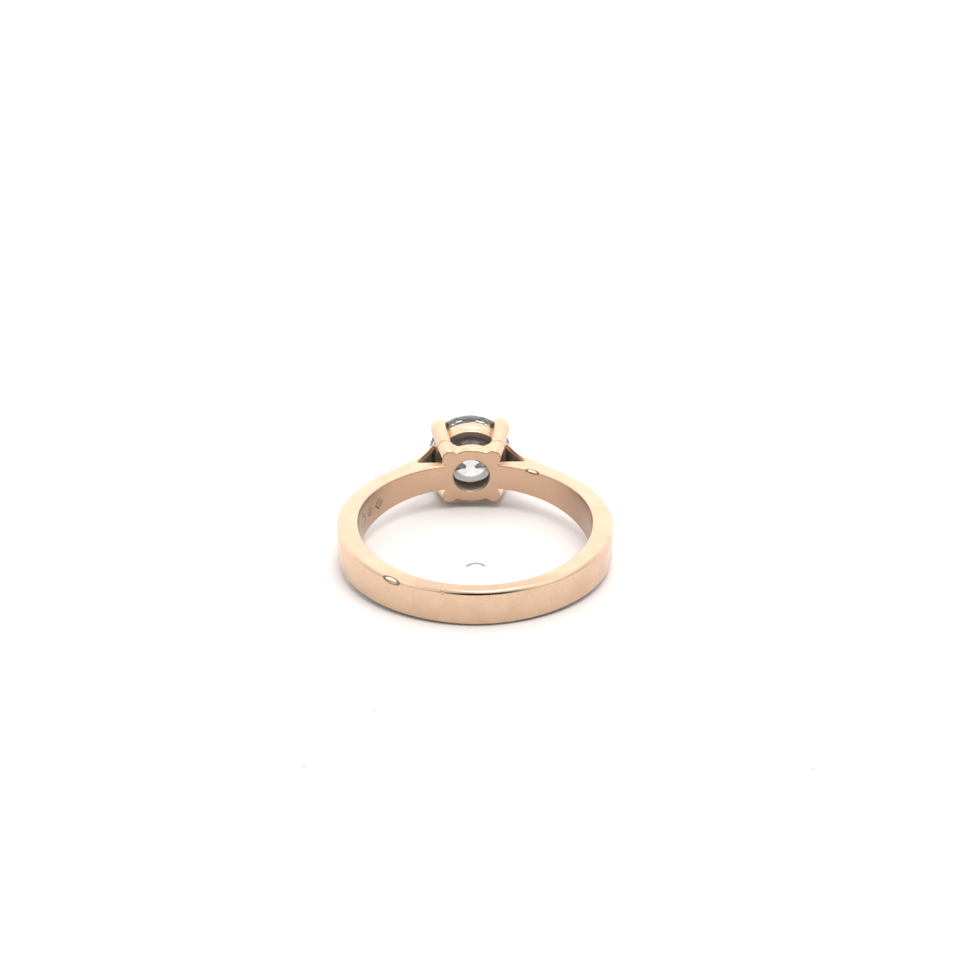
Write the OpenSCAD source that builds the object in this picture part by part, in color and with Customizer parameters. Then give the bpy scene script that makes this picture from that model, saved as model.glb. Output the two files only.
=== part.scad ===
// Four-claw solitaire ring with cathedral shoulders.
// The band's bore runs along Z, and its centre at mid width is the origin.
// The setting stands on the band towards +Y, so the ring lies on its side.

/* [Band] */
// Inside diameter of the band, which sets the finger size
bore_d = 17; // [16:0.1:19]
// Band thickness at the palm
palm_t = 1; // [0.9:0.05:1.3]
// Band thickness at the sides
side_t = 1.55; // [1.45:0.05:1.7]
// Band thickness where the shoulder arms run out
shoulder_t = 1.46; // [1.4:0.02:1.5]
// Band width at the palm
palm_w = 2.78; // [2.4:0.02:3]
// Band width at the sides
side_w = 2.92; // [2.6:0.02:3.2]
// Band width beside the setting
head_w = 2.06; // [1.8:0.02:2.2]
// Height above the bore of the two bars' flat tops beside the setting
bar_h = 0.55; // [0.5:0.05:0.6]

/* [Stone] */
// Girdle diameter of the round brilliant
stone_d = 6.5; // [6.4:0.05:6.6]
// Height of the culet above the bore
culet_h = 1.08; // [1.05:0.01:1.15]
// Table width as a share of the girdle diameter
table_share = 0.57; // [0.53:0.01:0.6]
// Crown angle in degrees
crown_a = 34.5; // [33:0.5:35]
// Pavilion angle in degrees
pavilion_a = 40.75; // [40.5:0.25:41]
// Girdle thickness
girdle_t = 0.15; // [0.1:0.01:0.2]

/* [Setting] */
// Reach of the base rail's bowed sides from the setting's centre line
base_reach = 2.30; // [2.25:0.01:2.35]
// Radius of the base rail's bowed sides
base_bow_r = 2.9; // [2.8:0.05:3.1]
// Height of the base rail above the bore
base_h = 1.05; // [0.9:0.05:1.1]
// Diameter of the open hole under the stone
hole_d = 2.84; // [2.6:0.02:2.9]
// Claw thickness at the foot
claw_foot_d = 1.12; // [1.06:0.02:1.2]
// Claw thickness at the bend
claw_d = 1.32; // [1.24:0.02:1.36]
// Distance of each claw's foot from the centre line, along the diagonal
claw_foot_reach = 2.46; // [2.42:0.01:2.5]
// Outward lean of the claws in degrees
claw_lean = 18.2; // [17.5:0.1:18.5]
// Height of the claws' bend above the bore
claw_bend_h = 2.95; // [2.9:0.05:3]
// Radius of the claws' bend on their centre line
claw_bend_r = 1.25; // [1.2:0.05:1.3]

/* [Hidden] */

$fn = 96;
gold = [0.88, 0.72, 0.56];
solder_gold = [0.82, 0.70, 0.55];
stone_white = [0.90, 0.93, 0.95, 0.6];

bore_r = bore_d / 2;
far = 30;               // longer than anything that is cut
seam = 0.05;            // thickness of every solder seam
step_a = 4;             // angle between the band outline's points

// Stone, measured along the setting's axis from the bore's centre
stone_r = stone_d / 2;
table_r = stone_r * table_share;
culet_y = bore_r + culet_h;
girdle_y = culet_y + stone_r * tan(pavilion_a);
crown_y = girdle_y + girdle_t;
table_y = crown_y + (stone_r - table_r) * tan(crown_a);
seat_gap = 0.06;        // room for the facets between the stone's true cones and the metal

// Seat rail: the outside leans out like the claws, and the top is cut parallel to the pavilion
rail_low_y = bore_r + 2.12;
rail_low_r = 2.80;
rail_wide_y = bore_r + 3.25;
rail_wide_r = 2.97;
rail_lip_r = 2.90;
rail_in_r = 2.30;
groove_y = bore_r + 2.62;
groove_w = 0.16;
groove_t = 0.07;

// Shoulder arms, as corners of their outline on the right-hand side
arm_crotch = [4.10, bore_r + bar_h];  // lower outer corner of the open triangle
arm_foot_a = 35;                      // angle at which the arm runs out on the band
arm_waist = [4.85, bore_r + 0.76];    // where the outside turns upwards
arm_top = [3.28, bore_r + 3.30];      // outer corner at the top
arm_under = [2.80, bore_r + 2.84];    // where the inside meets the seat rail

function smooth(s) = let (c = min(max(s, 0), 1)) c * c * (3 - 2 * c);
function mix(a, b, s) = a + (b - a) * s;
function polar(r, a) = [r * cos(a), r * sin(a)];
function bezier(p, q, r, s, t) =
    pow(1 - t, 3) * p + 3 * t * pow(1 - t, 2) * q + 3 * t * t * (1 - t) * r + pow(t, 3) * s;

// Thickness of the band at an angle counted from the side (0) to the setting (90) or palm (-90)
function band_t(a) = a < 0
    ? mix(palm_t, side_t, smooth((a + 80) / 76))
    : mix(side_t, shoulder_t, smooth(a / 40));
function band_r(a) = bore_r + band_t(a);

// Half the width of the band and arms at a height along Y
function half_w(y) = y < 0
    ? mix(side_w, palm_w, smooth(-y / 9)) / 2
    : mix(side_w, head_w, smooth(y / 10.5)) / 2;

// Height along Y of the stone's pavilion, taken as a true cone, at a radius from its axis
function pavilion_y(r) = girdle_y - (stone_r - r) * tan(pavilion_a);

// Turns a shape drawn along +Z so that it stands along +Y, the setting's axis
module stand() { rotate([-90, 0, 0]) children(); }

module bore(r = bore_r) { translate([0, 0, -far / 2]) cylinder(r = r, h = far, $fn = 180); }

// Everything within the width that the band and arms share
module width_block()
    rotate([90, 0, 90])
        translate([0, 0, -far / 2])
            linear_extrude(far)
                polygon(concat(
                    [for (y = [-12 : 1 : 14]) [y, half_w(y)]],
                    [for (y = [14 : -1 : -12]) [y, -half_w(y)]]));

// Outline of the base rail: four bowed sides, wider by grow
module base_outline(grow = 0)
    intersection_for (a = [0 : 90 : 270])
        rotate(a)
            translate([base_reach - base_bow_r, 0])
                circle(r = base_bow_r + grow);

module base_block(grow = 0)
    stand() translate([0, 0, bore_r - 1]) linear_extrude(1 + base_h) base_outline(grow);

// Column above the base rail's outline, which the band's ends stop at
module base_column(grow = 0)
    stand() translate([0, 0, bore_r - 2]) linear_extrude(far / 2) base_outline(grow);

module band_outline()
    polygon([for (a = [-90 : step_a : 266]) polar(band_r(a <= 90 ? a : 180 - a), a)]);

// The band without its ends cut: a hoop, flat over the two bars beside the setting
module band_block()
    difference() {
        intersection() {
            translate([0, 0, -far / 2]) linear_extrude(far) band_outline();
            width_block();
            translate([-far / 2, -far / 2, -far / 2]) cube([far, far / 2 + bore_r + bar_h, far]);
        }
        bore();
    }

module shank()
    color(gold)
        difference() {
            band_block();
            base_column(seam);
            for (side = [0, 1]) mirror([side, 0, 0]) arm_seat();
        }

module shank_solder()
    color(solder_gold)
        difference() {
            intersection() {
                band_block();
                base_column(seam);
            }
            base_column();
        }

// Each arm sits on a flat filed across the shoulder, from the crotch to the arm's foot
arm_foot = polar(band_r(arm_foot_a), arm_foot_a);
seat_dir = (arm_foot - arm_crotch) / norm(arm_foot - arm_crotch);
seat_up = [-seat_dir[1], seat_dir[0]];

// What the flat takes off the band
module arm_seat()
    translate([0, 0, -far / 2])
        linear_extrude(far)
            polygon([
                arm_crotch,
                arm_foot + seat_dir,
                arm_foot + seat_dir + 2 * seat_up,
                arm_crotch + 2 * seat_up]);

// Arm outline on the right-hand side, with its underside raised off the flat by lift
module arm_outline(lift)
    polygon(concat(
        [arm_foot + lift * seat_up, arm_crotch + lift * seat_up],
        [for (t = [0.25 : 0.25 : 0.75])
            bezier(arm_crotch, [3.7, 9.6], [3.3, 10.3], arm_under, t)],
        [arm_under, [arm_under[0] - 0.35, arm_under[1]], [arm_under[0] - 0.35, arm_top[1]]],
        [for (t = [0 : 0.125 : 0.875])
            bezier(arm_top, [3.45, 10.75], [4.05, 9.85], arm_waist, t)],
        [for (t = [0 : 0.1 : 0.9])
            bezier(arm_waist, [5.91, 8.33], [7.47, 6.70], arm_foot + lift * seat_up, t)]));

module arm_block(lift)
    intersection() {
        translate([0, 0, -far / 2]) linear_extrude(far) arm_outline(lift);
        width_block();
    }

module arm()
    difference() {
        arm_block(seam);
        rail_block(seam);
    }

module arm_right() { color(gold) arm(); }

module arm_left() { color(gold) mirror([1, 0, 0]) arm(); }

// Seams between the arms and the flats they sit on
module arm_solder()
    color(solder_gold)
        for (side = [0, 1])
            mirror([side, 0, 0])
                intersection() {
                    translate([0, 0, -far / 2])
                        linear_extrude(far)
                            polygon([
                                arm_crotch,
                                arm_foot,
                                arm_foot + seam * seat_up,
                                arm_crotch + seam * seat_up]);
                    width_block();
                }

// Seams between the arms' tips and the seat rail
module arm_tip_solder()
    color(solder_gold)
        for (side = [0, 1])
            mirror([side, 0, 0])
                difference() {
                    intersection() {
                        arm_block(seam);
                        rail_block(seam);
                    }
                    rail_block();
                }

// The seat rail's whole cone, thicker by grow, without its opening
module rail_block(grow = 0)
    stand()
        rotate_extrude()
            polygon([
                [0, rail_low_y],
                [rail_low_r + grow, rail_low_y],
                [rail_wide_r + grow, rail_wide_y],
                [rail_lip_r + grow, pavilion_y(rail_lip_r) - seat_gap],
                [0, pavilion_y(rail_lip_r) - seat_gap]]);

module rail_profile()
    polygon([
        [rail_in_r - 0.05, rail_low_y + 0.06],
        [rail_low_r - 0.08, rail_low_y],
        [rail_low_r, rail_low_y + 0.06],
        [rail_side_r(groove_y - groove_w / 2), groove_y - groove_w / 2],
        [rail_side_r(groove_y) - groove_t, groove_y],
        [rail_side_r(groove_y + groove_w / 2), groove_y + groove_w / 2],
        [rail_wide_r, rail_wide_y],
        [rail_lip_r, pavilion_y(rail_lip_r) - seat_gap],
        [rail_in_r, pavilion_y(rail_in_r) - seat_gap]]);

function rail_side_r(y) = mix(rail_low_r, rail_wide_r, (y - rail_low_y) / (rail_wide_y - rail_low_y));

module seat_rail()
    color(gold)
        difference() {
            stand() rotate_extrude() rail_profile();
            for (a = [45 : 90 : 315]) claw_shaft(a, seam);
        }

module base_rail()
    color(gold)
        difference() {
            base_block();
            bore();
            stand() cylinder(d = hole_d, h = far);
            for (a = [45 : 90 : 315]) claw_shaft(a, seam);
        }

// A claw's straight lower length, along a diagonal of the setting and thicker by grow
claw_run = claw_bend_h / cos(claw_lean);

module claw_shaft(a, grow = 0)
    stand()
        rotate(a)
            translate([claw_foot_reach, 0, bore_r])
                rotate([0, claw_lean, 0])
                    translate([0, 0, -1.5])
                        cylinder(r1 = claw_foot_d / 2 + grow - (claw_d - claw_foot_d) / claw_run * 0.75,
                            r2 = claw_d / 2 + grow, h = 1.5 + claw_run);

// The bend over the girdle and the rounded tip
claw_tip_a = 60;
bend_step = 0.03;       // each stretch of the claw is this much thinner than the one before

module claw_bend(a)
    stand()
        rotate(a)
            translate([claw_foot_reach, 0, bore_r])
                rotate([0, claw_lean, 0])
                    translate([-claw_bend_r, 0, claw_run])
                        rotate([90, 0, 0]) {
                            rotate_extrude(angle = claw_tip_a)
                                translate([claw_bend_r, 0]) circle(d = claw_d - bend_step);
                            rotate(claw_tip_a)
                                translate([claw_bend_r, 0]) sphere(d = claw_d - 3 * bend_step);
                        }

// The space that the stone needs, cut as a notch into the claws
module stone_room()
    stand()
        rotate_extrude()
            polygon([
                [0, culet_y - seat_gap],
                [stone_r + 0.02, girdle_y - seat_gap / 2],
                [stone_r + 0.02, crown_y + seat_gap / 2],
                [table_r, table_y + seat_gap],
                [0, table_y + seat_gap]]);

module claw(a)
    color(gold)
        difference() {
            union() {
                claw_shaft(a);
                claw_bend(a);
            }
            bore();
            stone_room();
        }

module claw_upper_right() { claw(-45); }

module claw_upper_left() { claw(-135); }

module claw_lower_right() { claw(45); }

module claw_lower_left() { claw(135); }

// Seams around the four claws where they pass the base rail
module claw_foot_solder()
    color(solder_gold)
        for (a = [45 : 90 : 315])
            difference() {
                intersection() {
                    base_block();
                    claw_shaft(a, seam);
                }
                claw_shaft(a);
                bore();
            }

// Seams around the four claws where they pass the seat rail
module claw_rail_solder()
    color(solder_gold)
        for (a = [45 : 90 : 315])
            difference() {
                intersection() {
                    stand() rotate_extrude() rail_profile();
                    claw_shaft(a, seam);
                }
                claw_shaft(a);
            }

// Round brilliant: table, stars, kites, upper halves, girdle, lower halves and pavilion mains
star_r = mix(table_r * cos(22.5), stone_r, 0.5);
star_y = crown_y + (stone_r - star_r * cos(22.5)) * tan(crown_a);
half_r = stone_r * 0.23;
half_y = culet_y + half_r * cos(22.5) * tan(pavilion_a);

function ring(n, r, y, turn = 0) =
    [for (i = [0 : n - 1]) [r * cos(i * 360 / n + turn), r * sin(i * 360 / n + turn), y]];

module diamond()
    color(stone_white)
        stand()
            polyhedron(
                points = concat(
                    ring(8, table_r, table_y),
                    ring(8, star_r, star_y, 22.5),
                    ring(16, stone_r, crown_y),
                    ring(16, stone_r, girdle_y),
                    ring(8, half_r, half_y, 22.5),
                    [[0, 0, culet_y]]),
                faces = concat(
                    [[7, 6, 5, 4, 3, 2, 1, 0]],
                    [for (i = [0 : 7]) [i, (i + 1) % 8, 8 + i]],
                    [for (i = [0 : 7]) [i, 8 + i, 16 + 2 * i, 8 + (i + 7) % 8]],
                    [for (i = [0 : 7]) [8 + i, 17 + 2 * i, 16 + 2 * i]],
                    [for (i = [0 : 7]) [8 + i, 16 + (2 * i + 2) % 16, 17 + 2 * i]],
                    [for (i = [0 : 15]) [16 + i, 16 + (i + 1) % 16, 32 + (i + 1) % 16, 32 + i]],
                    [for (i = [0 : 7]) [32 + 2 * i, 33 + 2 * i, 48 + i]],
                    [for (i = [0 : 7]) [33 + 2 * i, 32 + (2 * i + 2) % 16, 48 + i]],
                    [for (i = [0 : 7]) [32 + 2 * i, 48 + i, 56, 48 + (i + 7) % 8]]));

shank();
arm_left();
arm_right();
base_rail();
seat_rail();
claw_upper_left();
claw_upper_right();
claw_lower_left();
claw_lower_right();
diamond();
shank_solder();
arm_solder();
arm_tip_solder();
claw_foot_solder();
claw_rail_solder();
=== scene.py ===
import math
import bmesh
import bpy
from mathutils import Matrix, Vector


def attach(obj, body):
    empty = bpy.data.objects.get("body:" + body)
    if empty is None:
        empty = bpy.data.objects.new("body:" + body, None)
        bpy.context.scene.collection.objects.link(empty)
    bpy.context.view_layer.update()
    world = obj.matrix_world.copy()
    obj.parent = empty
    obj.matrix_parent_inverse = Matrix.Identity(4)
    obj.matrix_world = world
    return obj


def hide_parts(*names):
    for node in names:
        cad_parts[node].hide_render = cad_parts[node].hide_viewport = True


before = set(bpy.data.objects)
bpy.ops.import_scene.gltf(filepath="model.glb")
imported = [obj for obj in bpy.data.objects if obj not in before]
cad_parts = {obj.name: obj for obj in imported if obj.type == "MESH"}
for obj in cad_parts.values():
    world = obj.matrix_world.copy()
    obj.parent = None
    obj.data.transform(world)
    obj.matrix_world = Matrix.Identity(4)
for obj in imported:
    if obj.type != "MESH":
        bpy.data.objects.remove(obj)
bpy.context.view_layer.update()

scene = bpy.context.scene
mm = 0.001
print("frame loaded:", len(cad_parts), "nodes")

# all pieces are modelled in millimetres around the finger hole's centre and made metres at the end


def mix(a, b, share):
    return a + (b - a) * share


def smooth(share):
    share = min(max(share, 0), 1)
    return share * share * (3 - 2 * share)


def bezier(p, q, r, s, t):
    return p * (1 - t) ** 3 + q * 3 * t * (1 - t) ** 2 + r * 3 * t * t * (1 - t) + s * t ** 3


def onCircle(radius, degrees):
    return Vector((radius * math.cos(math.radians(degrees)), radius * math.sin(math.radians(degrees))))


def loft(bm, rail, stations, closed=False):
    # extrudes a chain of points again and again, and places each new chain where its station says
    for station in stations:
        edges = edgesAlong(bm, rail) if closed else [bm.edges.get(pair) for pair in zip(rail, rail[1:])]
        made = bmesh.ops.extrude_edge_only(bm, edges=edges)
        fresh = {v for v in made["geom"] if isinstance(v, bmesh.types.BMVert)}
        rail = [next(e.other_vert(vert) for e in vert.link_edges if e.other_vert(vert) in fresh)
                for vert in rail]
        putAt(rail, station)
    return rail


def putAt(verts, places):
    for vert, place in zip(verts, places):
        vert.co = place


def edgesAlong(bm, verts):
    # the edges of a closed chain of points
    return [bm.edges.get(pair) for pair in zip(verts, verts[1:] + verts[:1])]


def spinRound(bm, outline, steps):
    # turns an outline of (radius, height) points about the Z axis; one that starts on the axis stays open
    points = [bm.verts.new((radius, 0, height)) for radius, height in outline]
    pairs = zip(points, points[1:] + points[:1]) if outline[0][0] > 0 else zip(points, points[1:])
    edges = [bm.edges.new(pair) for pair in pairs]
    bmesh.ops.spin(bm, geom=points + edges, cent=(0, 0, 0), axis=(0, 0, 1), angle=math.radians(360),
                   steps=steps, use_merge=True)
    bmesh.ops.remove_doubles(bm, verts=bm.verts, dist=1e-4)
    bmesh.ops.recalc_face_normals(bm, faces=bm.faces)


def finishPiece(name, bm, material, node, sharpAbove=30, weighted=True):
    bmesh.ops.recalc_face_normals(bm, faces=bm.faces)
    bmesh.ops.scale(bm, vec=(mm, mm, mm), verts=bm.verts)
    mesh = bpy.data.meshes.new(name)
    bm.to_mesh(mesh)
    bm.free()
    for face in mesh.polygons:
        face.use_smooth = True
    mesh.set_sharp_from_angle(angle=math.radians(sharpAbove))
    piece = bpy.data.objects.new(name, mesh)
    scene.collection.objects.link(piece)
    mesh.materials.append(material)
    # evens the shading round broad cut faces; on the hoop it takes hold only in part and shows a step
    if weighted:
        normals = piece.modifiers.new("even shading", "WEIGHTED_NORMAL")
        normals.keep_sharp = True
    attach(piece, "root")
    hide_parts(node)


class Wire:
    def __init__(self, tree, socket=None):
        self.tree = tree
        self.socket = socket

    def node(self, kind, settings={}, inputs={}, output=0):
        made = self.tree.nodes.new(kind)
        for key, value in settings.items():
            setattr(made, key, value)
        for key, value in inputs.items():
            if isinstance(value, Wire):
                self.tree.links.new(value.socket, made.inputs[key])
            else:
                made.inputs[key].default_value = value
        return Wire(self.tree, made.outputs[output] if made.outputs else None)

    def maths(self, operation, *others):
        inputs = {0: self}
        inputs.update({i + 1: other for i, other in enumerate(others)})
        return self.node("ShaderNodeMath", {"operation": operation}, inputs)

    def __add__(self, other):
        return self.maths("ADD", other)

    __radd__ = __add__

    def __mul__(self, other):
        return self.maths("MULTIPLY", other)

    __rmul__ = __mul__

    def __sub__(self, other):
        return self.maths("SUBTRACT", other)

    def __rsub__(self, other):
        return self.node("ShaderNodeMath", {"operation": "SUBTRACT"}, {0: other, 1: self})

    def __truediv__(self, other):
        return self.maths("DIVIDE", other)

    def __pow__(self, other):
        return self.maths("POWER", other)

    def __abs__(self):
        return self.maths("ABSOLUTE")

    def most(self, other):
        return self.maths("MAXIMUM", other)

    def dot(self, direction):
        settings = {"operation": "DOT_PRODUCT"}
        return self.node("ShaderNodeVectorMath", settings, {0: self, 1: direction}, "Value")

    def noise(self, scale, detail, roughness=0.5):
        inputs = {"Vector": self, "Scale": scale, "Detail": detail, "Roughness": roughness}
        return self.node("ShaderNodeTexNoise", {}, inputs)

    def ramp(self, low, high):
        # 0 below low, 1 above high, eased in between
        settings = {"interpolation_type": "SMOOTHSTEP"}
        return self.node("ShaderNodeMapRange", settings, {"Value": self, "From Min": low, "From Max": high})

    def blend(self, first, second):
        # this wire's value mixes two colours
        return self.node("ShaderNodeMix", {"data_type": "RGBA"}, {"Factor": self, 6: first, 7: second}, 2)


def newMaterial(name):
    material = bpy.data.materials.new(name)
    material.use_nodes = True
    tree = material.node_tree
    tree.nodes.clear()
    return material, Wire(tree)


def inMillimetres(wire):
    # the place on the piece, and its x, y and z
    place = wire.node("ShaderNodeTexCoord", {}, {}, "Object")
    scaled = wire.node("ShaderNodeVectorMath", {"operation": "SCALE"}, {0: place, "Scale": 1000.0})
    return [scaled] + [wire.node("ShaderNodeSeparateXYZ", {}, {0: scaled}, i) for i in range(3)]


def close(wire, shader):
    wire.node("ShaderNodeOutputMaterial", {}, {"Surface": shader})


goldLook = {
    "clean": (0.685, 0.498, 0.358, 1), "warm": (0.650, 0.458, 0.320, 1), "worn": (0.585, 0.395, 0.272, 1),
    # on this line: a dark tone for dirt, pits and painted shade, a near-black for painted shade and dark
    # reflections, and a tone for painted shade on whole faces
    "grimeAndShade": (0.225, 0.19, 0.155, 1), "paintedDark": (0.045, 0.038, 0.022, 1), "paintedShadeTone": (0.40, 0.27, 0.19, 1),
    "smoothest": 0.14, "roughest": 0.30, "brushDeep": 0.0016, "grainDeep": 0.0022,
    # a nick in the outer edge: place, size, depth
    "nick": ((-2.57, -9.29, 1.18), 0.24, 0.08),
    # flats knocked into the edges: place, direction along, direction across, half sizes, slopes
    "flats": (((-6.07, -7.61, 1.30), (0.78, -0.62, 0), (-0.44, -0.55, -0.71), 0.50, 0.16, -0.45, 0.42),
              ((4.62, 7.13, 1.14), (0.84, -0.54, 0), (-0.38, -0.59, -0.71), 0.44, 0.13, -0.42, 0.38)),
    "flatDeep": 0.07,
    # three plain punch marks on the finger side: angle round the band, then how big they are
    "punchAngles": (165.5, 156.0, 147.0), "punchSize": 0.52, "punchLine": 0.13, "punchDepth": 0.05,
}


def dirtAndShadeMask(x, y, z, band, head, hole):
    # painted shade, with some dirt, darkens the hole, the space under the seat and the inside of the open
    # shoulders
    underSeat = (1 - head.ramp(2.66, 2.78)) * y.ramp(9.62, 9.8) * (1 - y.ramp(12.2, 12.6))
    shoulder = (1 - (abs(x) + (y - 9.05) * 0.57).ramp(4.05, 4.2)) * y.ramp(9.02, 9.2)
    shoulder = shoulder * (1 - abs(z).ramp(0.95, 1.3)) * (1 - y.ramp(11.2, 11.6))
    # a painted contact shadow darkens the lower outer rim on the palm's half, where the ring rests on the
    # table
    lowRimShadow = (1 - z.ramp(-1.34, -1.14)) * band.ramp(9.1, 9.3) * (1 - y.ramp(-5, 2)) * 0.8
    return hole.most(underSeat).most(shoulder).most(lowRimShadow)


def punchMarks(x, y, z, band, look):
    # a lozenge frame, a dot and a filled lozenge, side by side on the finger side
    radius = 8.5
    along = y.maths("ARCTAN2", x) * radius
    onBore = (1 - band.ramp(8.52, 8.56)) * y.ramp(0.0, 0.1)
    size, line = look["punchSize"], look["punchLine"]
    first, second, third = [along - math.radians(angle) * radius for angle in look["punchAngles"]]
    frameMark = 1 - abs(abs(first) + abs(z) - size * 1.1).ramp(line * 0.6, line * 1.3)
    dotMark = 1 - ((second * second + z * z) ** 0.5).ramp(size * 0.55, size * 0.75)
    fullMark = 1 - (abs(third) + abs(z)).ramp(size * 0.85, size * 1.1)
    return frameMark.most(dotMark).most(fullMark) * onBore


def goldMaterial(name, look):
    material, wire = newMaterial(name)
    place, x, y, z = inMillimetres(wire)
    band = (x * x + y * y) ** 0.5
    head = (x * x + z * z) ** 0.5
    # fine wear runs round the band, so its pattern is stretched along the angle
    strip = wire.node("ShaderNodeCombineXYZ", {}, {0: y.maths("ARCTAN2", x) * 5, 1: band * 9, 2: z * 9})
    brushed = strip.noise(1.6, 5, 0.7)
    grain = place.noise(9, 4, 0.75)
    worn = place.noise(0.55, 3, 0.6).ramp(0.35, 0.68)
    hole = (1 - head.ramp(1.44, 1.52)) * y.ramp(8.4, 8.9)
    # the painted shade and dirt, varied by the grain
    dirtAndShade = dirtAndShadeMask(x, y, z, band, head, hole) * (0.78 + grain * 0.4)
    marks = punchMarks(x, y, z, band, look)
    # the finger side takes the worn tone; painted shade darkens it further towards its sides, and darkens the
    # palm's upper face
    fingerSide = 1 - band.ramp(8.52, 8.62)
    palmTop = z.ramp(1.34, 1.38) * (1 - y.ramp(-8.4, -6.6)) * 0.5
    paintedShading = (fingerSide * abs(x).ramp(5.8, 8.2) * 0.75).most(palmTop)
    metal = fingerSide.blend(worn.blend(look["clean"], look["warm"]), look["worn"])
    metal = paintedShading.blend(metal, look["paintedShadeTone"])
    speckle = grain.ramp(0.25, 0.75).blend((0.91, 0.91, 0.91, 1), (1.06, 1.06, 1.06, 1))
    metal = wire.node("ShaderNodeMix", {"data_type": "RGBA", "blend_type": "MULTIPLY"},
                      {"Factor": 1.0, 6: metal, 7: speckle}, 2)
    pits = place.noise(10, 2).ramp(0.62, 0.72) * 0.24
    # painted shade and dirt, the punch marks and the pits pull the metal toward the dark tone
    colour = dirtAndShade.most(marks * 0.55).blend(pits.blend(metal, look["grimeAndShade"]), look["grimeAndShade"])
    # painted near-black: shade deep in the hole, and the camera's dark reflection in a line along the palm's
    # upper edge and round the knocks
    palmLine = z.ramp(1.15, 1.18) * (1 - z.ramp(1.25, 1.29)) * band.ramp(9.32, 9.38)
    palmLine = palmLine * (1 - y.ramp(-9.0, -8.6)) * (1 - abs(x - 0.3).ramp(1.0, 3.6))
    paintedDark = (hole * y.ramp(8.5, 9.2) * 0.7).most(palmLine)
    nickPlace, nickSize, nickDeep = look["nick"]
    gap = wire.node("ShaderNodeVectorMath", {"operation": "DISTANCE"}, {0: place, 1: nickPlace}, "Value")
    height = brushed * look["brushDeep"] + grain * look["grainDeep"] - marks * look["punchDepth"]
    height = height - (1 - gap.ramp(nickSize * 0.2, nickSize)) * nickDeep
    for centre, along, across, longHalf, wideHalf, slopeAlong, slopeAcross in look["flats"]:
        offset = wire.node("ShaderNodeVectorMath", {"operation": "SUBTRACT"}, {0: place, 1: centre})
        far, wide = offset.dot(along), offset.dot(across)
        edge = ((far / longHalf) ** 2 + (wide / wideHalf) ** 2) ** 0.5
        sunken = far * slopeAlong + wide * slopeAcross - look["flatDeep"]
        height = height + (1 - edge.ramp(0.82, 1.0)) * sunken
        # a ring of painted dark reflection round each flat
        paintedDark = paintedDark.most(edge.ramp(0.95, 1.05) * (1 - edge.ramp(1.3, 1.6)) * 0.75)
    halfSpread = (look["roughest"] - look["smoothest"]) / 2
    rough = worn * halfSpread + brushed * halfSpread + dirtAndShade * 0.25 + look["smoothest"]
    normal = wire.node("ShaderNodeBump", {}, {"Strength": 1.0, "Distance": mm, "Height": height})
    shader = wire.node("ShaderNodeBsdfPrincipled", {}, {
        "Base Color": paintedDark.blend(colour, look["paintedDark"]), "Metallic": 1 - dirtAndShade * 0.8, "Roughness": rough,
        "Normal": normal})
    close(wire, shader)
    return material


gold = goldMaterial("palePolishedGold", goldLook)
solderLook = dict(goldLook, clean=(0.65, 0.47, 0.34, 1), warm=(0.61, 0.43, 0.30, 1),
                  smoothest=0.2, roughest=0.36)
solder = goldMaterial("goldSolder", solderLook)


def diamondMaterial(girdleLow, girdleHigh):
    material, wire = newMaterial("clearDiamond")
    place, x, y, z = inMillimetres(wire)
    head = (x * x + z * z) ** 0.5
    # the girdle's rim is left frosted by the cutter
    inGirdle = y.ramp(girdleLow - 0.02, girdleLow) * (1 - y.ramp(girdleHigh, girdleHigh + 0.02))
    frosted = head.ramp(3.22, 3.24) * inGirdle
    # a film of soap and dust on the pavilion, where no cloth reaches, also serves as painted shade and
    # darkens it
    crown = y.ramp(12.2, 12.4)
    filmAndShade = head.ramp(1.15, 1.5) * (1 - head.ramp(2.8, 2.92)) * (1 - crown)
    filmAndShade = filmAndShade * place.noise(1.7, 4, 0.6).ramp(0.1, 0.4)
    # the pavilion's body is tinted grey against the clear crown, as painted shade
    clear = crown.blend((0.80, 0.81, 0.82, 1), (0.97, 0.97, 0.97, 1))
    colour = filmAndShade.blend(clear, (0.19, 0.17, 0.14, 1))
    shader = wire.node("ShaderNodeBsdfPrincipled", {}, {
        "Base Color": colour, "Roughness": frosted * 0.5 + filmAndShade * 0.22, "IOR": 2.417,
        "Transmission Weight": 1.0})
    close(wire, shader)
    return material


band = {
    "boreRadius": 8.5,
    "palmThick": 1.0, "sideThick": 1.55, "shoulderThick": 1.46,
    "palmWide": 2.78, "sideWide": 2.92, "headWide": 2.06,
    "barTop": 9.05,
    "crotch": Vector((4.10, 9.05)),
    "footAngle": 35,
    "waist": Vector((4.85, 9.26)),
    "armTop": Vector((3.28, 11.80)),
    "armUnder": Vector((2.80, 11.34)),
    "barEnd": 1.9, "tipEnd": 2.6,
    "outerEdge": 0.20, "ridge": 0.05, "boreEdge": 0.12,
    "seam": 0.05,
    "bowReach": 2.30, "bowRadius": 2.9,
}
boreRadius = band["boreRadius"]


def bandRadius(angle):
    if angle < 0:
        thick = mix(band["palmThick"], band["sideThick"], smooth((angle + 80) / 76))
    else:
        thick = mix(band["sideThick"], band["shoulderThick"], smooth(angle / 40))
    return boreRadius + thick


def halfWide(y):
    if y < 0:
        return mix(band["sideWide"], band["palmWide"], smooth(-y / 9)) / 2
    return mix(band["sideWide"], band["headWide"], smooth(y / 10.5)) / 2


armFoot = onCircle(bandRadius(band["footAngle"]), band["footAngle"])
seatDirection = (armFoot - band["crotch"]).normalized()
seatNormal = Vector((-seatDirection.y, seatDirection.x))


def bowX(z):
    # the base rail's bowed side, as a distance from the middle
    return band["bowReach"] - band["bowRadius"] + math.sqrt(band["bowRadius"] ** 2 - z * z)


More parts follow.
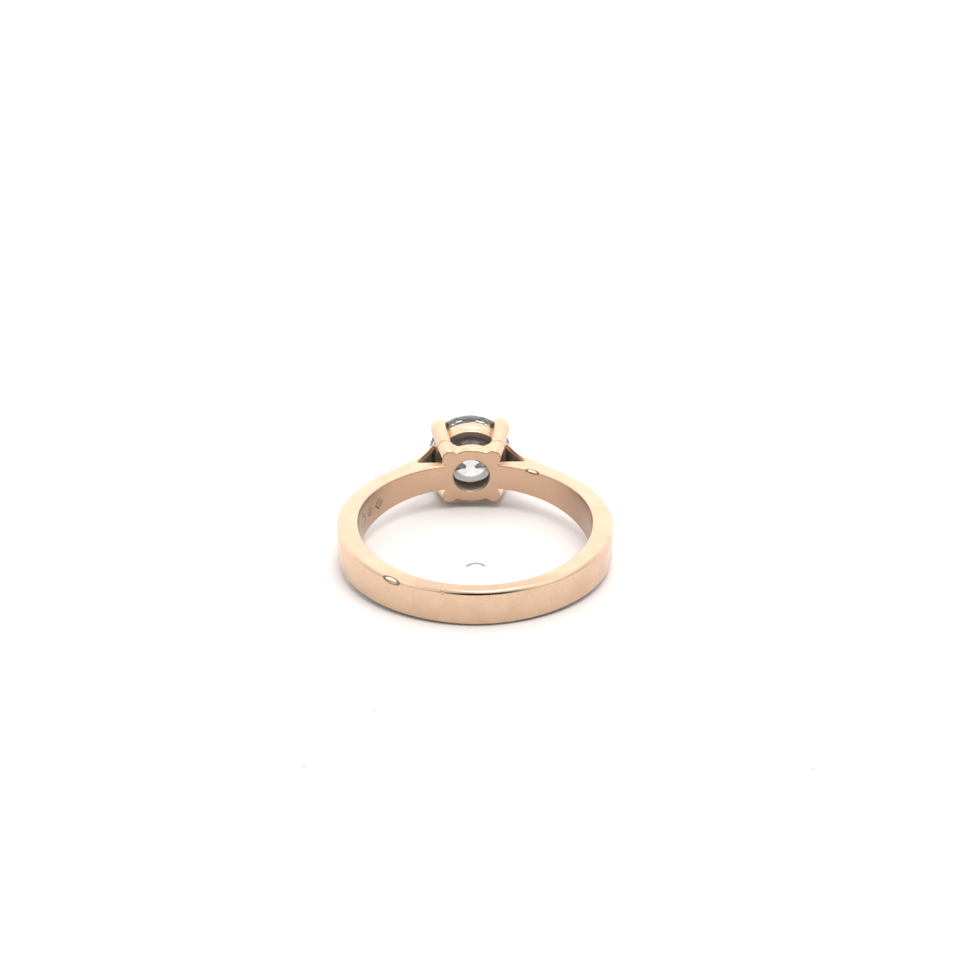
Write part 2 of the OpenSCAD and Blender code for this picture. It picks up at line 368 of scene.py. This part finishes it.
def flat(point):
    return Vector((point.x, point.y, 0))


def armOutside(t):
    # from the foot (0) over the waist (1) to the top (2)
    if t < 1:
        return bezier(armFoot, Vector((7.47, 6.70)), Vector((5.91, 8.33)), band["waist"], t)
    return bezier(band["waist"], Vector((4.05, 9.85)), Vector((3.45, 10.75)), band["armTop"], t - 1)


def armInside(t):
    return bezier(band["crotch"], Vector((3.7, 9.6)), Vector((3.3, 10.3)), band["armUnder"], t)


def sweptHalf():
    # one half of the side view: the hoop from the palm to the arm's foot, then the bar and the arm
    bm = bmesh.new()
    start = [bm.verts.new((0, -boreRadius, 0)), bm.verts.new((0, -bandRadius(-90), 0))]
    bm.edges.new(start)
    hoop = []
    for step in range(1, 97):
        angle = mix(-90, band["footAngle"], step / 96)
        hoop.append([flat(onCircle(boreRadius, angle)), flat(onCircle(bandRadius(angle), angle))])
    inner, outer = loft(bm, start, hoop)
    # the wedge of the arm on the band, with outside points chosen along the arm's curve
    crotchAngle = math.degrees(math.atan2(band["crotch"].y, band["crotch"].x))
    wedge = []
    t = 0.0
    while True:
        t += 0.05
        outside = armOutside(t)
        angle = math.degrees(math.atan2(outside.y, outside.x))
        if angle > crotchAngle - 0.8:
            break
        wedge.append([flat(onCircle(boreRadius, angle)), flat(outside)])
    wedge.append([flat(onCircle(boreRadius, crotchAngle)), flat(armOutside(t))])
    inner, outer = loft(bm, [inner, outer], wedge)
    # the last pair of points gets one between them, at the crotch, where bar and arm part
    split = bmesh.ops.subdivide_edges(bm, edges=[bm.edges.get((inner, outer))], cuts=1)
    middle = next(v for v in split["geom_inner"] if isinstance(v, bmesh.types.BMVert))
    inner, outer = sorted((e.other_vert(middle) for e in middle.link_edges), key=lambda v: v.co.length)
    middle.co = flat(band["crotch"])
    bar = []
    for step in range(1, 13):
        share = step / 12
        top = mix(band["crotch"].x, band["barEnd"], share)
        angle = mix(crotchAngle, math.degrees(math.acos(band["barEnd"] / boreRadius)), share)
        bar.append([flat(onCircle(boreRadius, angle)), Vector((top, band["barTop"], 0))])
    loft(bm, [inner, middle], bar)
    arm = []
    for step in range(1, 15):
        share = step / 14
        arm.append([flat(armInside(share)), flat(armOutside(mix(t, 2, share)))])
    arm.append([Vector((band["tipEnd"], band["armUnder"].y + 0.04, 0)),
                Vector((band["tipEnd"], band["armTop"].y, 0))])
    loft(bm, [middle, outer], arm)
    bmesh.ops.triangulate(bm, faces=[f for f in bm.faces if len(f.verts) > 4])
    return bm


def isRim(edge, finger):
    # the edges along the band between its flat sides and its finger side or its outside
    if len(edge.link_faces) != 2 or edge.calc_face_angle() < math.radians(60):
        return False
    a, b = [v.co for v in edge.verts]
    if a.z * b.z <= 0 or abs(a.x - b.x) <= 1e-3:
        return False
    return ((a.xy.length + b.xy.length) / 2 < boreRadius + 0.02) == finger


def wholeShank():
    # band and both arms in one, to be parted by cutAway
    bm = sweptHalf()
    # thickness, and the width that narrows towards the setting
    made = bmesh.ops.extrude_face_region(bm, geom=bm.faces[:])
    raised = {v for v in made["geom"] if isinstance(v, bmesh.types.BMVert)}
    for vert in bm.verts:
        vert.co.z = halfWide(vert.co.y) * (1 if vert in raised else -1)
    bmesh.ops.mirror(bm, geom=bm.verts[:] + bm.edges[:] + bm.faces[:], axis="X", merge_dist=1e-4)
    bmesh.ops.delete(bm, geom=[f for f in bm.faces if all(abs(v.co.x) < 1e-4 for v in f.verts)],
                     context="FACES_ONLY")
    bmesh.ops.remove_doubles(bm, verts=bm.verts, dist=1e-4)
    bmesh.ops.recalc_face_normals(bm, faces=bm.faces)
    # the outer rims are filed to a chamfer and its own edges are softened; the finger side is rounded
    for offset, finger, segments in ((band["boreEdge"], True, 5), (band["outerEdge"], False, 1)):
        rims = [e for e in bm.edges if isRim(e, finger)]
        bmesh.ops.bevel(bm, geom=rims, offset=offset, affect="EDGES", segments=segments, profile=0.5,
                        material=-1)
    ridges = [e for e in bm.edges if len(e.link_faces) == 2
              and math.radians(33) < e.calc_face_angle() < math.radians(57)]
    bmesh.ops.bevel(bm, geom=ridges, offset=band["ridge"], affect="EDGES", segments=3, profile=0.5,
                    material=-1)
    bmesh.ops.recalc_face_normals(bm, faces=bm.faces)
    return bm


def cutAway(bm, side, lift, keepArm):
    # cuts along the flat that an arm sits on, keeps the arm or the band, and closes the cut
    normal = Vector((side * seatNormal.x, seatNormal.y, 0))
    point = Vector((side * band["crotch"].x, band["crotch"].y, 0)) + normal * lift
    bmesh.ops.bisect_plane(bm, geom=bm.verts[:] + bm.edges[:] + bm.faces[:], dist=1e-5, plane_co=point,
                           plane_no=normal, clear_outer=not keepArm, clear_inner=keepArm)
    rim = [e for e in bm.edges if e.is_boundary]
    bmesh.ops.contextual_create(bm, geom=rim)


print("band and arms")
shankMesh = wholeShank()
for side in (1, -1):
    cutAway(shankMesh, side, 0, False)
finishPiece("bandHoop", shankMesh, gold, "shank", weighted=False)

for side, word in ((1, "right"), (-1, "left")):
    armMesh = wholeShank()
    cutAway(armMesh, side, band["seam"], True)
    finishPiece(word + "Arm", armMesh, gold, "arm_" + word)

seamMesh = bmesh.new()
for side in (1, -1):
    oneSeam = wholeShank()
    cutAway(oneSeam, side, band["seam"], False)
    cutAway(oneSeam, side, 0, True)
    carrier = bpy.data.meshes.new("seamHalf")
    oneSeam.to_mesh(carrier)
    oneSeam.free()
    seamMesh.from_mesh(carrier)
    bpy.data.meshes.remove(carrier)
finishPiece("armSeams", seamMesh, solder, "arm_solder")

# the setting is modelled standing up along +Z and then turned so that it stands along +Y
standUp = Matrix.Rotation(math.radians(-90), 4, "X")


def stand(bm):
    bmesh.ops.transform(bm, matrix=standUp, verts=bm.verts)


def boreHeight(x):
    return math.sqrt(boreRadius ** 2 - x * x)


claw = {
    "footReach": 2.46, "footRadius": 0.56, "radius": 0.66, "lean": 18.2, "bendHeight": 2.95,
    "bendRadius": 1.25, "tipAngle": 60, "tipRadius": 0.60, "footRecess": 0.03, "footEdge": 0.12,
    "segments": 40,
}
clawLean = math.radians(claw["lean"])


def clawRadius(height):
    return mix(claw["footRadius"], claw["radius"], (height - boreRadius) / claw["bendHeight"])


baseRail = {
    "reach": band["bowReach"], "bow": band["bowRadius"], "holeRadius": 1.42, "top": 9.55,
    "lobe": 0.01, "blend": 0.16, "edge": 0.10, "holeEdge": 0.06, "groove": 0.03, "steps": 256,
}


def railReach(angle, height, inset):
    # distance from the centre line to the outline: a bowed square that swells round each claw
    turned = (angle + math.pi / 4) % (math.pi / 2) - math.pi / 4
    offset = baseRail["bow"] - baseRail["reach"]
    bow = math.sqrt(baseRail["bow"] ** 2 - (offset * math.sin(turned)) ** 2) - offset * math.cos(turned)
    slant = abs(abs(turned) - math.pi / 4)
    centre = claw["footReach"] + (height - boreRadius) * math.tan(clawLean)
    radius = clawRadius(height) / math.cos(clawLean) + baseRail["lobe"]
    widest = math.asin(radius / centre)
    inside = min(slant, widest * 0.995)
    lobe = centre * math.cos(inside) + math.sqrt(radius ** 2 - (centre * math.sin(inside)) ** 2)
    lobe -= max(slant - inside, 0) * 4
    share = max(baseRail["blend"] - abs(bow - lobe), 0) / baseRail["blend"]
    return max(bow, lobe) + share * share * baseRail["blend"] / 4 - inset


def baseRailPiece():
    bm = bmesh.new()
    steps = baseRail["steps"]
    ringVerts = bmesh.ops.create_circle(bm, segments=steps, radius=baseRail["holeRadius"])["verts"]
    angles = [2 * math.pi * i / steps for i in range(steps)]

    def hole(grow, height=None, aboveBore=0):
        ring = []
        for angle in angles:
            x = (baseRail["holeRadius"] + grow) * math.cos(angle)
            y = (baseRail["holeRadius"] + grow) * math.sin(angle)
            ring.append(Vector((x, y, boreHeight(x) + aboveBore if height is None else height)))
        return ring

    def outside(inset, height=None, aboveBore=0, share=None):
        ring = []
        for angle in angles:
            if share is not None:
                # the line along the rail fades out before the lobes
                turned = abs((angle + math.pi / 4) % (math.pi / 2) - math.pi / 4)
                faded = 1 - smooth((math.degrees(turned) - 16) / 8)
            z = boreRadius - 0.1
            # the outline leans out with the claws, so its reach depends on the height it ends up at
            for _ in range(3):
                reach = railReach(angle, z, inset if share is None else inset * faded)
                x = reach * math.cos(angle)
                if share is not None:
                    z = mix(boreHeight(x), baseRail["top"], share)
                else:
                    z = boreHeight(x) + aboveBore if height is None else height
            ring.append(Vector((x, reach * math.sin(angle), z)))
        return ring

    edge, holeEdge, top = baseRail["edge"], baseRail["holeEdge"], baseRail["top"]
    putAt(ringVerts, hole(holeEdge))
    stations = []
    for share in (0.34, 0.67):
        stations.append([a.lerp(b, share) for a, b in zip(hole(holeEdge), outside(edge))])
    stations.append(outside(edge))
    for step in (1, 2, 3, 4):
        turn = math.radians(90) * step / 4
        stations.append(outside(edge * (1 - math.sin(turn)), aboveBore=edge * (1 - math.cos(turn))))
    for share, inset in ((0.3, -0.005), (0.38, 0.0), (0.42, baseRail["groove"]),
                         (0.46, 0.005), (0.6, -0.01), (0.8, 0.0)):
        stations.append(outside(inset, share=share))
    for step in (0, 1, 2, 3, 4):
        turn = math.radians(90) * step / 4
        stations.append(outside(edge * (1 - math.cos(turn)), height=top - edge * (1 - math.sin(turn))))
    stations.append(hole(holeEdge, height=top))
    for step in (1, 2, 3):
        turn = math.radians(90) * step / 3
        stations.append(hole(holeEdge * (1 - math.sin(turn)), height=top - holeEdge * (1 - math.cos(turn))))
    for step in (0, 1, 2):
        turn = math.radians(90) * step / 3
        stations.append(hole(holeEdge * (1 - math.cos(turn)), aboveBore=holeEdge * (1 - math.sin(turn))))
    last = loft(bm, ringVerts, stations, closed=True)
    bmesh.ops.bridge_loops(bm, edges=edgesAlong(bm, ringVerts) + edgesAlong(bm, last))
    stand(bm)
    finishPiece("baseRail", bm, gold, "base_rail", sharpAbove=40)


print("base rail")
baseRailPiece()

stone = {
    "radius": 3.25, "culet": 9.58, "tableShare": 0.57, "crownAngle": 34.5, "pavilionAngle": 40.75,
    "girdle": 0.15, "starShare": 0.5, "halfShare": 0.77,
}
stoneRadius = stone["radius"]
crownTan = math.tan(math.radians(stone["crownAngle"]))
pavilionTan = math.tan(math.radians(stone["pavilionAngle"]))
tableRadius = stoneRadius * stone["tableShare"]
girdleLow = stone["culet"] + stoneRadius * pavilionTan
girdleHigh = girdleLow + stone["girdle"]
tableHeight = girdleHigh + (stoneRadius - tableRadius) * crownTan
facetTurn = math.radians(22.5)


def around(radius, turn, height):
    return Vector((radius * math.cos(turn), radius * math.sin(turn), height))


def cutFacet(bm, a, b, c):
    # grinds a flat through three points and closes the stone again
    normal = (b - a).cross(c - a).normalized()
    if normal.dot(a - Vector((0, 0, girdleLow))) < 0:
        normal = -normal
    bmesh.ops.bisect_plane(bm, geom=bm.verts[:] + bm.edges[:] + bm.faces[:], dist=1e-6, plane_co=a,
                           plane_no=normal, clear_outer=True)
    rim = [e for e in bm.edges if e.is_boundary]
    if rim:
        bmesh.ops.contextual_create(bm, geom=rim)


def stonePiece():
    bm = bmesh.new()
    depth = tableHeight - stone["culet"] + 0.4
    bmesh.ops.create_cone(bm, cap_ends=True, segments=128, radius1=stoneRadius, radius2=stoneRadius,
                          depth=depth)
    bmesh.ops.translate(bm, vec=(0, 0, (tableHeight + stone["culet"]) / 2), verts=bm.verts)
    flatMiddle = tableRadius * math.cos(facetTurn)
    starRadius = mix(flatMiddle, stoneRadius, stone["starShare"])
    starHeight = girdleHigh + (stoneRadius - starRadius * math.cos(facetTurn)) * crownTan
    halfRadius = stoneRadius * (1 - stone["halfShare"])
    halfHeight = stone["culet"] + halfRadius * math.cos(facetTurn) * pavilionTan
    culet = Vector((0, 0, stone["culet"]))
    cutFacet(bm, around(1, 0, tableHeight), around(1, 2, tableHeight), around(1, 4, tableHeight))
    for i in range(8):
        main = 2 * i * facetTurn
        between = main + facetTurn
        nextMain = main + 2 * facetTurn
        girdleTop = around(stoneRadius, main, girdleHigh)
        girdleFoot = around(stoneRadius, main, girdleLow)
        sideways = Vector((-math.sin(main), math.cos(main), 0))
        cutFacet(bm, girdleTop, girdleTop + sideways, around(tableRadius, main, tableHeight))
        cutFacet(bm, girdleFoot, girdleFoot + sideways, culet)
        star = around(starRadius, between, starHeight)
        cutFacet(bm, star, around(tableRadius, main, tableHeight), around(tableRadius, nextMain, tableHeight))
        half = around(halfRadius, between, halfHeight)
        for corner in (main, nextMain):
            for tip, height in ((star, girdleHigh), (half, girdleLow)):
                cutFacet(bm, tip, around(stoneRadius, corner, height), around(stoneRadius, between, height))
    bmesh.ops.remove_doubles(bm, verts=bm.verts, dist=1e-4)
    bmesh.ops.dissolve_limit(bm, angle_limit=math.radians(0.2), verts=bm.verts, edges=bm.edges)
    stand(bm)
    finishPiece("roundBrilliant", bm, diamondMaterial(girdleLow, girdleHigh), "diamond",
                sharpAbove=4, weighted=False)


print("stone")
stonePiece()

seatRail = {
    "low": 10.62, "lowRadius": 2.80, "wide": 11.75, "wideRadius": 2.97, "lipRadius": 2.90,
    "insideRadius": 2.30, "grooveAt": 11.10, "grooveWide": 0.13, "grooveDeep": 0.075, "stoneGap": 0.05,
    "edge": 0.07,
}


def seatRadius(height):
    return mix(seatRail["lowRadius"], seatRail["wideRadius"],
               (height - seatRail["low"]) / (seatRail["wide"] - seatRail["low"]))


def seatRailPiece():
    s = seatRail

    def bearing(radius):
        return girdleLow - (stoneRadius - radius) * pavilionTan - s["stoneGap"]

    groove, wide = s["grooveAt"], s["grooveWide"]
    outline = [
        (s["insideRadius"] - 0.04, s["low"] + 0.1), (s["lowRadius"] - 0.02, s["low"]),
        (seatRadius(groove - wide) + 0.01, groove - wide), (seatRadius(groove) - s["grooveDeep"], groove),
        (seatRadius(groove + wide) + 0.01, groove + wide), (s["wideRadius"], s["wide"]),
        (s["lipRadius"], bearing(s["lipRadius"])), (s["insideRadius"], bearing(s["insideRadius"])),
    ]
    bm = bmesh.new()
    spinRound(bm, outline, 144)
    corners = [e for e in bm.edges if len(e.link_faces) == 2 and e.calc_face_angle() > math.radians(18)]
    bmesh.ops.bevel(bm, geom=corners, offset=s["edge"], affect="EDGES", segments=4, profile=0.5, material=-1,
                    clamp_overlap=True)
    stand(bm)
    finishPiece("seatRail", bm, gold, "seat_rail", sharpAbove=40)


print("seat rail")
seatRailPiece()


def stoneRoom():
    # the stone's place, which is filed out of every claw as a notch
    bm = bmesh.new()
    gap = 0.012
    outline = [(0, stone["culet"] - gap), (stoneRadius + gap, girdleLow - gap / 2),
               (stoneRadius + gap, girdleHigh + gap / 2), (tableRadius, tableHeight + gap),
               (0, tableHeight + gap)]
    spinRound(bm, outline, 96)
    return bm


def takeAway(bm, cutterMesh):
    # a Boolean modifier, applied at once while the pieces are still in millimetres
    holders = []
    for source in (bm, cutterMesh):
        mesh = bpy.data.meshes.new("working")
        source.to_mesh(mesh)
        holder = bpy.data.objects.new("working", mesh)
        scene.collection.objects.link(holder)
        holders.append(holder)
    cut = holders[0].modifiers.new("notch", "BOOLEAN")
    cut.operation = "DIFFERENCE"
    cut.solver = "EXACT"
    cut.object = holders[1]
    ready = holders[0].evaluated_get(bpy.context.evaluated_depsgraph_get())
    bm.clear()
    bm.from_mesh(ready.to_mesh())
    ready.to_mesh_clear()
    for holder in holders:
        mesh = holder.data
        bpy.data.objects.remove(holder)
        bpy.data.meshes.remove(mesh)


def clawPiece(name, node, turn):
    c = claw
    lean = clawLean
    bm = bmesh.new()
    ringVerts = bmesh.ops.create_circle(bm, segments=c["segments"], radius=c["footRadius"])["verts"]
    run = c["bendHeight"] / math.cos(lean)
    spins = [2 * math.pi * i / c["segments"] for i in range(c["segments"])]

    def ring(centre, tilt, radius):
        # centre is (reach, height) in the claw's own plane, and tilt leans the ring outwards
        out = Vector((math.cos(tilt), 0, -math.sin(tilt)))
        across = Vector((0, 1, 0))
        middle = Vector((centre[0], 0, centre[1]))
        return [middle + out * (radius * math.cos(s)) + across * (radius * math.sin(s)) for s in spins]

    def shaft(distance, radius):
        return ring((c["footReach"] + distance * math.sin(lean), boreRadius + distance * math.cos(lean)),
                    lean, radius)

    def footRing(radius, above):
        # where the shaft meets the finger hole's cylinder, raised by above
        axis = Vector((math.sin(lean), 0, math.cos(lean)))
        places = []
        for point in shaft(0, radius):
            moved = point.copy()
            for _ in range(6):
                x = moved.x * math.cos(turn) - moved.y * math.sin(turn)
                moved += axis * (boreHeight(x) + above - moved.z)
            places.append(moved)
        return places

    putAt(ringVerts, footRing(c["footRadius"] - c["footEdge"], c["footRecess"]))
    stations = []
    for step in range(1, 5):
        angle = math.radians(90) * step / 4
        stations.append(footRing(c["footRadius"] - c["footEdge"] * (1 - math.sin(angle)) - 0.01,
                                 c["footRecess"] + c["footEdge"] * (1 - math.cos(angle))))
    for step in range(2, 13):
        share = step / 12
        stations.append(shaft(run * share, mix(c["footRadius"], c["radius"], share)))
    bendCentre = (c["footReach"] + run * math.sin(lean) - c["bendRadius"] * math.cos(lean),
                  boreRadius + c["bendHeight"] + c["bendRadius"] * math.sin(lean))
    for step in range(1, 13):
        share = step / 12
        tilt = lean - math.radians(c["tipAngle"]) * share
        centre = (bendCentre[0] + c["bendRadius"] * math.cos(tilt),
                  bendCentre[1] - c["bendRadius"] * math.sin(tilt))
        stations.append(ring(centre, tilt, mix(c["radius"], c["tipRadius"], smooth(share))))
    tip = lean - math.radians(c["tipAngle"])
    forward = (math.sin(tip), math.cos(tip))
    for step in range(1, 9):
        angle = math.radians(90) * step / 8.2
        ahead = c["tipRadius"] * 0.95 * math.sin(angle)
        stations.append(ring((centre[0] + forward[0] * ahead, centre[1] + forward[1] * ahead), tip,
                             c["tipRadius"] * math.cos(angle)))
    last = loft(bm, ringVerts, stations, closed=True)
    bmesh.ops.contextual_create(bm, geom=edgesAlong(bm, last))
    bmesh.ops.contextual_create(bm, geom=edgesAlong(bm, ringVerts))
    bmesh.ops.rotate(bm, cent=(0, 0, 0), matrix=Matrix.Rotation(turn, 3, "Z"), verts=bm.verts)
    bmesh.ops.recalc_face_normals(bm, faces=bm.faces)
    room = stoneRoom()
    takeAway(bm, room)
    room.free()
    stand(bm)
    finishPiece(name, bm, gold, node, sharpAbove=35)


print("claws")
clawPiece("upperRightClaw", "claw_upper_right", math.radians(-45))
clawPiece("upperLeftClaw", "claw_upper_left", math.radians(-135))
clawPiece("lowerRightClaw", "claw_lower_right", math.radians(45))
clawPiece("lowerLeftClaw", "claw_lower_left", math.radians(135))

bead = {"radius": 0.04, "segments": 10}


def addBead(bm, path, up, closed=False):
    # a thin bead along a path; up is any direction that the path never runs along
    count = len(path)
    stations = []
    for i, point in enumerate(path):
        ahead = path[(i + 1) % count] if closed or i + 1 < count else point
        behind = path[i - 1] if closed or i > 0 else point
        run = (ahead - behind).normalized()
        side = run.cross(up).normalized()
        across = side.cross(run)
        thick = bead["radius"] * (1 if closed else 0.25 + 0.75 * math.sin(math.pi * i / (count - 1)) ** 0.3)
        turns = [2 * math.pi * j / bead["segments"] for j in range(bead["segments"])]
        stations.append([point + (side * math.cos(t) + across * math.sin(t)) * thick for t in turns])
    first = bmesh.ops.create_circle(bm, segments=bead["segments"], radius=1)["verts"]
    putAt(first, stations[0])
    last = loft(bm, first, stations[1:], closed=True)
    firstEdges, lastEdges = edgesAlong(bm, first), edgesAlong(bm, last)
    if closed:
        bmesh.ops.bridge_loops(bm, edges=firstEdges + lastEdges)
    else:
        bmesh.ops.contextual_create(bm, geom=firstEdges)
        bmesh.ops.contextual_create(bm, geom=lastEdges)


def clawTurns():
    return [math.radians(45 + 90 * quarter) for quarter in range(4)]


def shankBeads():
    # round the three open sides of each bar's end
    bm = bmesh.new()
    wide = halfWide(band["barTop"]) - 0.02
    for side in (1, -1):
        corners = [Vector((0, 8.36, wide)), Vector((0, band["barTop"] - 0.02, wide)),
                   Vector((0, band["barTop"] - 0.02, -wide)), Vector((0, 8.36, -wide))]
        path = []
        for start, end in zip(corners, corners[1:]):
            path += [start.lerp(end, step / 8) for step in range(8)]
        path.append(corners[-1])
        for point in path:
            point.x = side * (bowX(point.z) + 0.01)
        addBead(bm, path, Vector((1, 0, 0)))
    finishPiece("barEndBeads", bm, solder, "shank_solder")


def armTipBeads():
    bm = bmesh.new()
    wide = halfWide(11.5) - 0.03
    low, high = band["armUnder"].y + 0.02, band["armTop"].y - 0.03
    for side in (1, -1):
        corners = [Vector((0, low, wide)), Vector((0, high, wide)),
                   Vector((0, high, -wide)), Vector((0, low, -wide))]
        path = []
        for start, end in zip(corners, corners[1:] + corners[:1]):
            path += [start.lerp(end, step / 8) for step in range(8)]
        for point in path:
            point.x = side * (math.sqrt(seatRadius(point.y) ** 2 - point.z ** 2) + 0.01)
        addBead(bm, path, Vector((1, 0, 0)), closed=True)
    finishPiece("armTipBeads", bm, solder, "arm_tip_solder")


def clawFootBeads():
    bm = bmesh.new()
    height = baseRail["top"] + 0.01
    reach = claw["footReach"] + (height - boreRadius) * math.tan(clawLean)
    wide = clawRadius(height) - 0.005
    long = wide / math.cos(clawLean)
    for turn in clawTurns():
        outward = Vector((math.cos(turn), math.sin(turn), 0))
        across = Vector((-outward.y, outward.x, 0))
        middle = outward * reach + Vector((0, 0, height))
        path = []
        for step in range(32):
            spin = 2 * math.pi * step / 32
            path.append(middle + outward * (long * math.cos(spin)) + across * (wide * math.sin(spin)))
        addBead(bm, path, Vector((0, 0, 1)), closed=True)
    stand(bm)
    finishPiece("clawFootBeads", bm, solder, "claw_foot_solder")


def clawRailBeads():
    # up both corners between every claw and the seat rail
    bm = bmesh.new()
    for turn in clawTurns():
        outward = Vector((math.cos(turn), math.sin(turn), 0))
        for hand in (1, -1):
            path = []
            for step in range(13):
                height = mix(seatRail["low"] + 0.02, seatRail["wide"] - 0.05, step / 12)
                rail = seatRadius(height)
                centre = claw["footReach"] + (height - boreRadius) * math.tan(clawLean)
                radius = clawRadius(height)
                corner = math.acos((rail ** 2 + centre ** 2 - radius ** 2) / (2 * rail * centre))
                angle = turn + hand * corner
                path.append(Vector((rail * math.cos(angle), rail * math.sin(angle), height)))
            addBead(bm, path, outward)
    stand(bm)
    finishPiece("clawRailBeads", bm, solder, "claw_rail_solder")


print("solder beads")
shankBeads()
armTipBeads()
clawFootBeads()
clawRailBeads()

studio = {
    "cameraDistance": 110, "cameraRise": 32.5, "cameraLeft": 2.1, "aimRight": 1.07, "aimUp": 3.26,
    "roll": 0.55, "lens": 55.13, "sensor": 36,
    "greyArc": (0.0, -1.26, 0.66),
    "dust": ((-6.91, -19.37, 0.09), (-10.93, -24.87, 0.10), (18.94, -26.28, 0.10), (-6.07, -13.41, 0.06)),
    "restPalm": (-9.5, -1.39), "restHead": (12.45, -3.25), "floorSize": 900,
    "front": 0.62, "back": 1.2, "ceiling": 1.25,
    "darkFront": (-0.03, -0.83, 0.56), "dimAbove": (0, -0.60, 0.80),
    "softboxPlace": (0.06, -0.07, 0.44), "softboxSize": 0.22, "softboxPower": 0.95,
}


def makeFloor():
    material, wire = newMaterial("paleTable")
    place, x, y, _ = inMillimetres(wire)
    mottle = place.noise(0.06, 3)
    # a thin grey arc on the table inside the ring and a few grains of dust in front of it
    arcX, arcY, bend = studio["greyArc"]
    away = ((x - arcX) ** 2 + (y - arcY) ** 2) ** 0.5
    marks = (1 - abs(away - bend).ramp(0.09, 0.20)) * y.ramp(arcY + 0.05, arcY + 0.25)
    for dustX, dustY, size in studio["dust"]:
        away = ((x - dustX) ** 2 + (y - dustY) ** 2) ** 0.5
        marks = marks.most(1 - away.ramp(size * 0.6, size))
    table = mottle.blend((0.725, 0.70, 0.695, 1), (0.745, 0.72, 0.715, 1))
    colour = marks.blend(table, (0.30, 0.26, 0.28, 1))
    close(wire, wire.node("ShaderNodeBsdfPrincipled", {}, {"Base Color": colour, "Roughness": 0.65}))
    bm = bmesh.new()
    bmesh.ops.create_grid(bm, x_segments=2, y_segments=2, size=studio["floorSize"])
    (palmY, palmZ), (headY, headZ) = studio["restPalm"], studio["restHead"]
    slope = math.atan2(headZ - palmZ, headY - palmY)
    bmesh.ops.rotate(bm, cent=(0, 0, 0), matrix=Matrix.Rotation(slope, 3, "X"), verts=bm.verts)
    bmesh.ops.translate(bm, vec=(0, 0, palmZ - math.tan(slope) * palmY), verts=bm.verts)
    bmesh.ops.scale(bm, vec=(mm, mm, mm), verts=bm.verts)
    mesh = bpy.data.meshes.new("tableTop")
    bm.to_mesh(mesh)
    bm.free()
    mesh.materials.append(material)
    floor = bpy.data.objects.new("tableTop", mesh)
    scene.collection.objects.link(floor)


def makeLight():
    world = bpy.data.worlds.new("softStudio")
    scene.world = world
    world.use_nodes = True
    tree = world.node_tree
    tree.nodes.clear()
    wire = Wire(tree)
    direction = wire.node("ShaderNodeTexCoord", {}, {}, "Generated")
    y = wire.node("ShaderNodeSeparateXYZ", {}, {0: direction}, 1)
    z = wire.node("ShaderNodeSeparateXYZ", {}, {0: direction}, 2)
    # a bright ceiling and back wall, a dark patch on the camera's side and a dimmer one above it
    back = y.ramp(-0.5, 0.8) * studio["back"]
    high = z.ramp(0.25, 0.85) * studio["ceiling"]
    dark = direction.dot(studio["darkFront"]).ramp(0.93, 0.975) * 0.94
    dim = direction.dot(studio["dimAbove"]).ramp(0.72, 0.93) * 0.42
    level = (back.most(high) + studio["front"]) * (1 - dark) * (1 - dim)
    shader = wire.node("ShaderNodeBackground", {}, {"Color": (1.0, 0.99, 0.98, 1), "Strength": level})
    wire.node("ShaderNodeOutputWorld", {}, {"Surface": shader})
    place = Vector(studio["softboxPlace"])
    lamp = bpy.data.lights.new("topSoftbox", "AREA")
    lamp.size = studio["softboxSize"]
    lamp.energy = studio["softboxPower"]
    lamp.color = (1.0, 0.98, 0.96)
    holder = bpy.data.objects.new("topSoftbox", lamp)
    scene.collection.objects.link(holder)
    holder.location = place
    holder.rotation_mode = "QUATERNION"
    holder.rotation_quaternion = (-place).to_track_quat("-Z", "Y")


def makeCamera():
    rise, left = math.radians(studio["cameraRise"]), math.radians(studio["cameraLeft"])
    back = Vector((-math.cos(rise) * math.sin(left), -math.cos(rise) * math.cos(left), math.sin(rise)))
    place = back * studio["cameraDistance"] * mm
    right = (-back).cross(Vector((0, 0, 1))).normalized()
    up = right.cross(-back)
    aim = (right * studio["aimRight"] + up * studio["aimUp"]) * mm
    forward = (aim - place).normalized()
    right = forward.cross(Vector((0, 0, 1))).normalized()
    up = right.cross(forward)
    roll = Matrix.Rotation(math.radians(studio["roll"]), 3, "Z")
    turned = Matrix((right, up, -forward)).transposed() @ roll
    data = bpy.data.cameras.new("camera")
    data.lens = studio["lens"]
    data.sensor_width = studio["sensor"]
    data.clip_start = 0.005
    data.clip_end = 10
    camera = bpy.data.objects.new("camera", data)
    scene.collection.objects.link(camera)
    camera.matrix_world = Matrix.Translation(place) @ turned.to_4x4()
    scene.camera = camera


print("floor, light and camera")
makeFloor()
makeLight()
makeCamera()
scene.view_settings.view_transform = "Standard"
